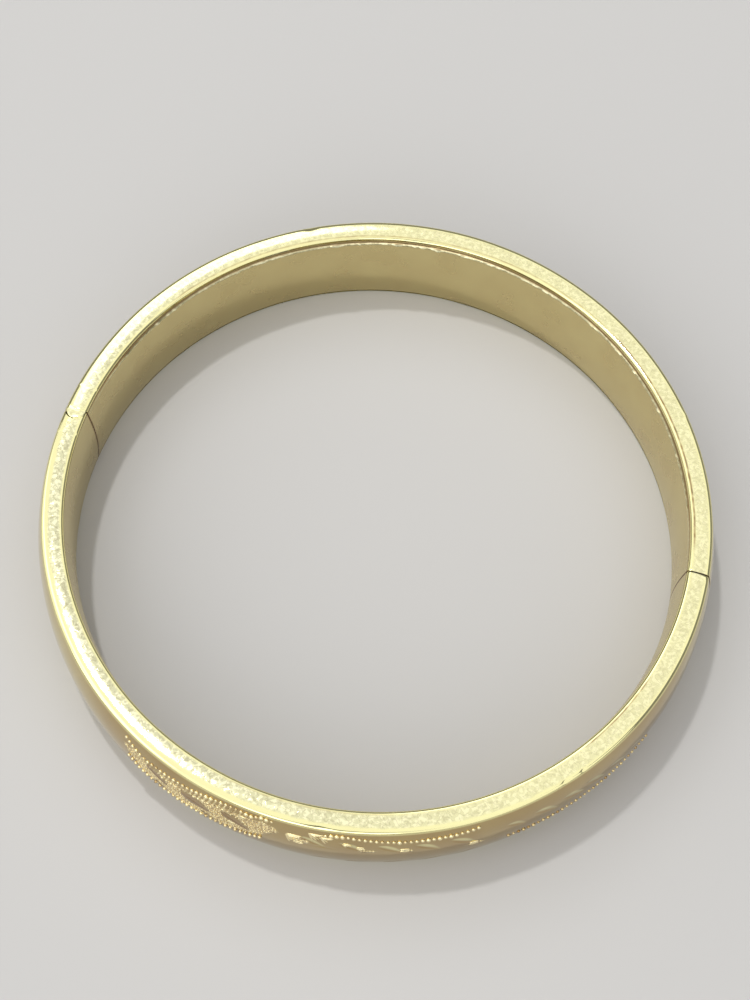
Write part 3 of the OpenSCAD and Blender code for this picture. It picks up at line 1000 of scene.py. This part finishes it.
def bead(mesh, azimuth, z, half_width, half_height, proud, lean=0.0):
    """One low dome standing on the wall, longer up the wall where it is a struck line."""
    turn = math.radians(azimuth)
    slope = math.asin((z - HALF_HEIGHT) / OUTER_ARC)
    out = Vector((math.cos(turn) * math.cos(slope), math.sin(turn) * math.cos(slope),
                  math.sin(slope)))
    along = Vector((-math.sin(turn), math.cos(turn), 0))
    up = out.cross(along)
    radius = outer_wall(z) - BEAD_FOOT
    foot = Vector((radius * math.cos(turn), radius * math.sin(turn), z))
    rows = []
    for ring in range(BEAD_RINGS):
        angle = math.pi / 2 * ring / BEAD_RINGS
        row = []
        for k in range(BEAD_SIDES):
            x = half_width * math.cos(angle) * math.cos(2 * math.pi * k / BEAD_SIDES)
            y = half_height * math.cos(angle) * math.sin(2 * math.pi * k / BEAD_SIDES)
            rise = out * (proud + BEAD_FOOT) * math.sin(angle)
            row.append(mesh.verts.new((foot + along * (x + lean * y) + up * y + rise) * MM))
        rows.append(row)
    crown = mesh.verts.new((foot + out * (proud + BEAD_FOOT)) * MM)
    for low, high in zip(rows, rows[1:]):
        for k in range(BEAD_SIDES):
            n = (k + 1) % BEAD_SIDES
            mesh.faces.new((low[k], low[n], high[n], high[k]))
    for k in range(BEAD_SIDES):
        mesh.faces.new((rows[-1][k], rows[-1][(k + 1) % BEAD_SIDES], crown))
    mesh.faces.new(rows[0][::-1])


def stroke(mesh, azimuth, z, direction, length):
    """One raised stroke from its root, in a direction along and up the wall."""
    turn = math.radians(direction)
    middle = azimuth + 0.5 * length * math.cos(turn) / WALL_MM_PER_DEGREE
    height = z + 0.5 * length * math.sin(turn)
    rise = 0.5 * length * abs(math.sin(turn))
    if rise > STEEP_STROKE * length:
        lean = math.cos(turn) / math.sin(turn)
        bead(mesh, middle, height, STROKE_HALF_WIDTH, rise, STROKE_PROUD, lean)
    else:
        bead(mesh, middle, height, 0.5 * length, STROKE_HALF_WIDTH, STROKE_PROUD)


def tinted(mesh, first, shade):
    """Gives the corners made since the first one their share of tarnish and painted shade."""
    mesh.verts.ensure_lookup_table()
    for corner in mesh.verts[first:]:
        corner[tarnish_and_shade] = shade


milgrain_mesh = bmesh.new()
tarnish_and_shade = milgrain_mesh.verts.layers.float.new("shaded")
for row_number, (row, row_shade) in enumerate(zip(MILGRAIN_ROWS, ROW_SHADES)):
    row_proud = LOWER_ROW_PROUD if row_number == LOWER_BORDER else BEAD_PROUD
    for number, (azimuth, z) in enumerate(row_places(row)):
        vary = BEAD_VARY * wander(number * 1.7, row_number * 3.3, 0.5)
        dull = DULL_GAIN * max(0.0, DULL_LEVEL - wander(number * 0.9, row_number * 5.1, 2.5))
        if any(math.hypot((azimuth - a) * WALL_MM_PER_DEGREE, z - h) < 0.5 * BEAD_PITCH
               for a, h in BIG_BEADS):
            vary, dull = BIG_BEAD_GAIN, 0.0
        first = len(milgrain_mesh.verts)
        bead(milgrain_mesh, azimuth, z, BEAD_HALF_WIDTH + vary, BEAD_HALF_HEIGHT + vary,
             row_proud + vary)
        if row_number == LINED_ROW and LINED_FROM < azimuth < LINED_TO:
            aside, drop, *form = STRUCK_LINE
            bead(milgrain_mesh, azimuth + aside, z - drop, *form)
            aside, drop, *form = STRUCK_DOT
            if not any(leaf_place(azimuth, z - drop, leaf)[0] for leaf in LEAVES):
                bead(milgrain_mesh, azimuth + aside, z - drop, *form)
        tinted(milgrain_mesh, first, row_shade + dull)
first = len(milgrain_mesh.verts)
for azimuth, z, start, end, count, length in FANS:
    for number, direction in enumerate(spaced(start, end, count)):
        vary = 1 + STROKE_VARY * wander(azimuth, number * 2.3, 0, seed=1.5)
        stroke(milgrain_mesh, azimuth, z, direction, length * vary)
tinted(milgrain_mesh, first, 0.0)
for line in GRAIN_LINES:
    for number in GRAIN_PLACES:
        aside = GRAIN_STRAY * wander(number / 1.3, line * 1.7, 0, seed=2.2)
        along = (number + 0.5 * (line % 2)) * GRAIN_PITCH + aside
        azimuth = along / WALL_MM_PER_DEGREE
        z = line * GRAIN_PITCH + GRAIN_STRAY * wander(line, number / 1.1, 5)
        if engraving(azimuth, z)[1] < FULLY_MATTED:
            continue
        size = GRAIN_SIZE + GRAIN_VARY * wander(number / 0.7, line / 0.7, 3, seed=7.7)
        first = len(milgrain_mesh.verts)
        bead(milgrain_mesh, azimuth, z, size, GRAIN_TALL * size, GRAIN_PROUD * size)
        dull = max(0.0, wander(number / 1.9, line / 1.9, 9, seed=3.4))
        tinted(milgrain_mesh, first, GRAIN_TARNISH * dull)
milgrain_data = bpy.data.meshes.new("front_milgrain")
milgrain_mesh.to_mesh(milgrain_data)
milgrain_mesh.free()
milgrain_data.shade_smooth()
milgrain = new_piece("front_milgrain", milgrain_data)
milgrain_data.materials.append(gold_finish("milgrain_gold", 0.16, tone=(0.99, 0.86, 0.50)))
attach(milgrain, "front_half")


# Front half, lining. The engraved half's inner wall, a domed strip made and set like the back
# one's, and left satin too.
front_lining = lining("front_lining_strip", SIDE_FRONT)
front_lining.data.materials.append(satin_gold)
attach(front_lining, "front_half")
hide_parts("front_lining")


# Clasp tongue. A springy strip of brass held in the front half's end plate, which snaps into the
# slot of the back half. Its edges are filed round.
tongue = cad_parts["clasp_tongue"]
filed = tongue.modifiers.new("filed edges", "BEVEL")
filed.width, filed.segments, filed.limit_method = 0.12 * MM, 3, "ANGLE"
tongue.data.materials.clear()
tongue.data.materials.append(gold_finish("tongue_brass", 0.3))


# The studio: a plain pale floor, a key lamp behind on the left, and soft boxes that the rims and
# walls mirror. The room is dim, and where it shows above the floor it is as pale as the floor.
FLOOR = 30.0
PALE = (0.50, 0.49, 0.475, 1)
floor_mesh = bpy.data.meshes.new("floor")
floor_mesh.from_pydata([(-FLOOR, -FLOOR, 0), (FLOOR, -FLOOR, 0), (FLOOR, FLOOR, 0),
                        (-FLOOR, FLOOR, 0)], [], [(0, 1, 2, 3)])
floor = new_piece("floor", floor_mesh)
floor_paint = bpy.data.materials.new("floor_paint")
floor_paint.use_nodes = True
paint = floor_paint.node_tree.nodes["Principled BSDF"]
paint.inputs["Base Color"].default_value = PALE
paint.inputs["Roughness"].default_value = 0.85
floor_mesh.materials.append(floor_paint)


def hung(name, data, azimuth, elevation, distance):
    """Hangs a lamp in a direction from the bangle, aimed at it and hidden from the camera."""
    holder = bpy.data.objects.new(name, data)
    bpy.context.scene.collection.objects.link(holder)
    a, e = math.radians(azimuth), math.radians(elevation)
    way = Vector((math.cos(a) * math.cos(e), math.sin(a) * math.cos(e), math.sin(e)))
    holder.location = way * distance
    holder.rotation_euler = way.to_track_quat("Z", "Y").to_euler()
    holder.visible_camera = False


def lamp(name, azimuth, elevation, distance, size, brightness):
    """A round lamp near the bangle. Brightness is what a mirror shows of it."""
    data = bpy.data.lights.new(name, "AREA")
    data.shape, data.size = "DISK", size
    data.energy = brightness * math.pi * math.pi * size ** 2 / 4
    hung(name, data, azimuth, elevation, distance)


def soft_box(name, azimuth, elevation, half_angle, brightness):
    """A great soft light far away, which lights the whole floor evenly."""
    data = bpy.data.lights.new(name, "SUN")
    data.angle = 2 * math.radians(half_angle)
    data.energy = brightness * math.pi * math.sin(math.radians(half_angle)) ** 2
    hung(name, data, azimuth, elevation, 1.0)


# Each lamp's azimuth and elevation, distance and size in metres, and brightness, and each soft
# box's azimuth and elevation, half angle and brightness
lamp("key", 147, 72, 0.75, 0.036, 520)
soft_box("overhead", 100, 76, 36, 0.83)
soft_box("left_box", 190, 38, 31, 0.83)
soft_box("near_box", -125, 35, 31, 0.9)
soft_box("right_box", -42, 35, 31, 0.8)
lamp("far_glow", 120, 50, 0.9, 0.36, 1.0)
lamp("near_glow", -88, 28, 0.9, 0.6, 1.5)
world = bpy.data.worlds.new("studio")
world.use_nodes = True
room = world.node_tree.nodes["Background"]
room.inputs["Color"].default_value = (0.93, 0.94, 0.96, 1)
room.inputs["Strength"].default_value = 0.25
backdrop = world.node_tree.nodes.new("ShaderNodeBackground")
backdrop.inputs["Color"].default_value = PALE
seen = world.node_tree.nodes.new("ShaderNodeLightPath")
either = world.node_tree.nodes.new("ShaderNodeMixShader")
world.node_tree.links.new(seen.outputs["Is Camera Ray"], either.inputs[0])
world.node_tree.links.new(room.outputs[0], either.inputs[1])
world.node_tree.links.new(backdrop.outputs[0], either.inputs[2])
world.node_tree.links.new(either.outputs[0], world.node_tree.nodes["World Output"].inputs[0])
bpy.context.scene.world = world
bpy.context.scene.view_settings.view_transform = "Standard"


# The photograph's view: a long lens above the near side, rolled a little. Its place and the point
# that it looks at were fitted to the rims' outlines in the photograph.
CAMERA_PLACE = Vector((13.965, -68.908, 162.112)) * MM
CAMERA_AIM = Vector((-1.400, 4.966, 0.0)) * MM
ROLL = math.radians(4.10)
camera_data = bpy.data.cameras.new("photo")
camera_data.lens, camera_data.sensor_width = 63.0, 36.0
camera_data.clip_start, camera_data.clip_end = 0.01, 10.0
camera = bpy.data.objects.new("photo", camera_data)
bpy.context.scene.collection.objects.link(camera)
camera.location = CAMERA_PLACE
camera.rotation_mode = "QUATERNION"
camera.rotation_quaternion = ((CAMERA_AIM - CAMERA_PLACE).to_track_quat("-Z", "Y")
                              @ Quaternion((0, 0, 1), ROLL))
bpy.context.scene.camera = camera
